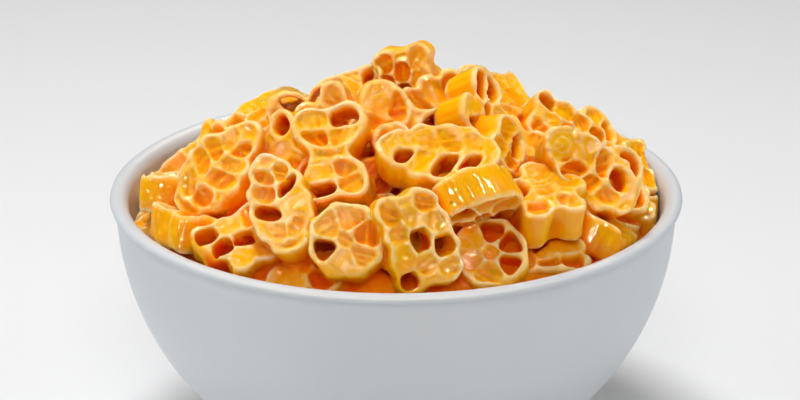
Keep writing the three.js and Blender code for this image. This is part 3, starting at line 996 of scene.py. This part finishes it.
def cheese_material(name):
    """Pasta in sauce: golden sides with streaks along them, faces with pale curved ridges, painted
    highlight on the edges, and painted shade in the hollows and crevices.
    """
    paint = Paint(name)
    tones = paint.layer("tones")
    parts = paint.nodes.new("ShaderNodeSeparateColor")
    paint.give(parts, "Color", tones.outputs["Color"])
    face, hollow, close = (parts.outputs[part] for part in ("Red", "Green", "Blue"))
    inside = tones.outputs["Alpha"]
    grain = paint.layer("grain").outputs["Vector"]
    place = paint.place()

    # Curved bands over the faces, and streaks down the sides.
    bands = paint.reckon("MULTIPLY", paint.noise(grain, BANDS, detail=0.0), 26.0)
    wave = paint.reckon("SINE", bands)
    ridges = paint.reckon("MULTIPLY", paint.ramp(wave, low=-0.4, high=1.0), face)
    streaks = paint.ramp(paint.noise(grain, STREAKS), low=0.35, high=0.65)
    side = paint.blend(streaks, SIDE, GOLD)

    # Painted highlight makes the edges paler, and painted shade takes that paleness away and deepens the
    # colour the more a place is closed in or hollow.
    edge = paint.ramp(hollow, low=0.44, high=0.28)
    # Painted shade: how much of the paleness the crevices take away.
    shade = paint.ramp(close, low=0.48, high=0.78)
    # The ridges' own cream, with painted highlight on the edges, less where shade is painted.
    pale_and_highlight = paint.reckon("MAXIMUM", paint.reckon("MULTIPLY", ridges, 0.3), edge)
    pale_and_highlight = paint.reckon("SUBTRACT", pale_and_highlight, shade)
    colour = paint.blend(face, side, paint.blend(pale_and_highlight, FACE, PALE_AND_HIGHLIGHT))
    # Painted shade: the hollows take a deeper red-orange.
    colour = paint.blend(paint.ramp(hollow, low=0.56, high=0.82), colour, HOLLOW_SHADE)
    # Painted shade: dark red where the heap closes a place in, and deep inside the holes and panes.
    painted_shade = paint.reckon("MAXIMUM", paint.ramp(close, low=0.42, high=0.8), inside)
    paint.shade("Base Color", paint.blend(painted_shade, colour, CREVICE_SHADE))

    # A wet coat in patches, and none in the crevices.
    wet = paint.ramp(paint.noise(place, WET_PATCHES, detail=1.0), low=0.25, high=0.55)
    coat = paint.reckon("MULTIPLY", paint.reckon("SUBTRACT", wet, painted_shade), 0.9)
    paint.shade("Coat Weight", paint.reckon("MAXIMUM", coat, 0.0))
    paint.shade("Coat Roughness", 0.06)
    paint.shade("Coat IOR", 1.45)
    paint.shade("Roughness", 0.4)
    paint.shade("Specular IOR Level", 0.03)
    paint.shade("Specular Tint", (1.0, 0.55, 0.12))
    paint.shade("Subsurface Weight", 0.6)
    paint.shade("Subsurface Radius", (1.0, 0.5, 0.2))
    paint.shade("Subsurface Scale", 2.0 * MM)

    # Ridges and soft lumps, then a fine roughness for the pasta and droplets for the coat.
    normal = paint.bump(ridges, distance=0.22, strength=0.7)
    swellings = paint.noise(grain, SWELLINGS, detail=0.0)
    normal = paint.bump(swellings, distance=0.25, strength=0.5, under=normal)
    roughening = paint.noise(place, ROUGHENING)
    paint.shade("Normal", paint.bump(roughening, distance=0.2, strength=0.35, under=normal))
    droplets = paint.noise(place, DROPLETS, detail=0.0)
    paint.shade("Coat Normal", paint.bump(droplets, distance=0.2, strength=0.55, under=normal))
    return paint.material


# ---------------------------------------------------------------- stage

FLOOR_COLOUR = (0.78, 0.785, 0.8)
WORLD_STRENGTH = 0.24
LIGHTS_AIM = Vector((0, 0, 0.08))  # the place in the heap that every light looks at

# Name, place, width and watts of the soft square lights, which only matt surfaces see.
SOFT_LIGHTS = (
    ("key", (-0.1, 0.1, 0.85), 0.25, 4.7),
    ("front", (0.0, -0.8, 0.75), 0.3, 2.8),
    ("fill_left", (-1.1, 0.0, 0.3), 0.7, 3.9),
    ("fill_right", (1.1, 0.0, 0.3), 0.7, 3.4),
)

# Name, place, and width and height of the narrow lights, which only glossy surfaces see: the glints.
UPRIGHT = (0.012, 0.1)
LYING = (0.1, 0.012)
STRIPS = (
    ("left", (-0.45, -0.25, 0.6), UPRIGHT),
    ("right", (0.4, -0.15, 0.65), UPRIGHT),
    ("back", (0.1, 0.5, 0.6), LYING),
    ("front", (0.15, -0.6, 0.75), UPRIGHT),
    ("low", (-0.25, -0.8, 0.45), UPRIGHT),
    ("side", (0.45, -0.55, 0.35), UPRIGHT),
    ("over", (-0.15, -0.35, 0.85), UPRIGHT),
    ("far", (-0.3, 0.35, 0.7), LYING),
    ("near_right", (0.3, -0.45, 0.7), UPRIGHT),
    ("near_left", (-0.35, -0.5, 0.65), UPRIGHT),
    ("near", (0.0, -0.75, 0.6), LYING),
    ("level_left", (-0.5, -0.85, 0.22), UPRIGHT),
    ("level_right", (0.3, -1.0, 0.28), UPRIGHT),
    ("level", (-0.08, -1.0, 0.25), UPRIGHT),
    ("middle", (0.12, -0.95, 0.5), UPRIGHT),
    ("wide", (-0.65, -0.5, 0.35), UPRIGHT),
)
STRIP_WATTS = 2.0
STRIP_COLOUR = (1.0, 0.87, 0.6)


def add_light(name, place, size, watts, glossy):
    """A rectangular light that either only glossy or only matt surfaces see."""
    light = bpy.data.lights.new(name, "AREA")
    light.shape = "RECTANGLE"
    light.size, light.size_y = size
    light.energy = watts
    holder = bpy.data.objects.new(name, light)
    holder.location = place
    holder.visible_glossy = glossy
    holder.visible_diffuse = not glossy
    holder.rotation_euler = (LIGHTS_AIM - Vector(place)).to_track_quat("-Z", "Y").to_euler()
    bpy.context.scene.collection.objects.link(holder)
    return light


def make_stage():
    """A pale floor, a dim even world, and the lights."""
    bpy.ops.mesh.primitive_plane_add(size=8, location=(0, 0, 0))
    floor = bpy.context.object
    floor.name = "floor"
    floor.data.materials.append(plain_material("floor", FLOOR_COLOUR, roughness=0.9))
    world = bpy.data.worlds.new("studio")
    world.use_nodes = True
    world.node_tree.nodes["Background"].inputs["Color"].default_value = (1, 1, 1, 1)
    world.node_tree.nodes["Background"].inputs["Strength"].default_value = WORLD_STRENGTH
    world.cycles_visibility.glossy = False
    bpy.context.scene.world = world
    for name, place, width, watts in SOFT_LIGHTS:
        add_light(name, place, (width, width), watts, glossy=False)
    for name, place, size in STRIPS:
        strip = add_light("strip_" + name, place, size, STRIP_WATTS, glossy=True)
        strip.color = STRIP_COLOUR
    bpy.context.scene.view_settings.view_transform = "Standard"


# The camera's place was fitted to the photo's rim ellipse.
CAMERA_SIDE = 0.001
CAMERA_DISTANCE = 0.8  # from the middle of the rim
CAMERA_ELEVATION = 20.8  # degrees above the rim
CAMERA_LENS = 137.0  # millimetres, as are the next two
CAMERA_SENSOR = 36.0
LOOKS_BELOW_RIM = 3.9


def make_camera():
    """The photo's camera."""
    camera = bpy.data.cameras.new("camera")
    camera.lens = CAMERA_LENS
    camera.sensor_width = CAMERA_SENSOR
    holder = bpy.data.objects.new("camera", camera)
    elevation = math.radians(CAMERA_ELEVATION)
    rim = Vector((CAMERA_SIDE, 0, RIM_HEIGHT * MM))
    holder.location = rim + CAMERA_DISTANCE * Vector((0, -math.cos(elevation), math.sin(elevation)))
    target = Vector((CAMERA_SIDE, 0, (RIM_HEIGHT - LOOKS_BELOW_RIM) * MM))
    holder.rotation_euler = (target - holder.location).to_track_quat("-Z", "Y").to_euler()
    bpy.context.scene.collection.objects.link(holder)
    bpy.context.scene.camera = holder


# ---------------------------------------------------------------- the object

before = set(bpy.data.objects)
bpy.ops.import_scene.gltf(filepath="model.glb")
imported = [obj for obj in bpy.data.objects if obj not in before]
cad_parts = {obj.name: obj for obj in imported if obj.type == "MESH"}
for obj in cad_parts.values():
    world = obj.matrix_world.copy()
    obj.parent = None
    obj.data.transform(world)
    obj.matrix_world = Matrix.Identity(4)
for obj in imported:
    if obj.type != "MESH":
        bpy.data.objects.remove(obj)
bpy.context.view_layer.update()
make_camera()
make_stage()

make_bowl().data.materials.append(glaze_material("glaze"))

heap = Heap()
cheese = cheese_material("cheese")
for kind, parts in lay_pasta(heap).items():
    make_pasta(kind, parts, heap).data.materials.append(cheese)
make_sauce(heap).data.materials.append(cheese)
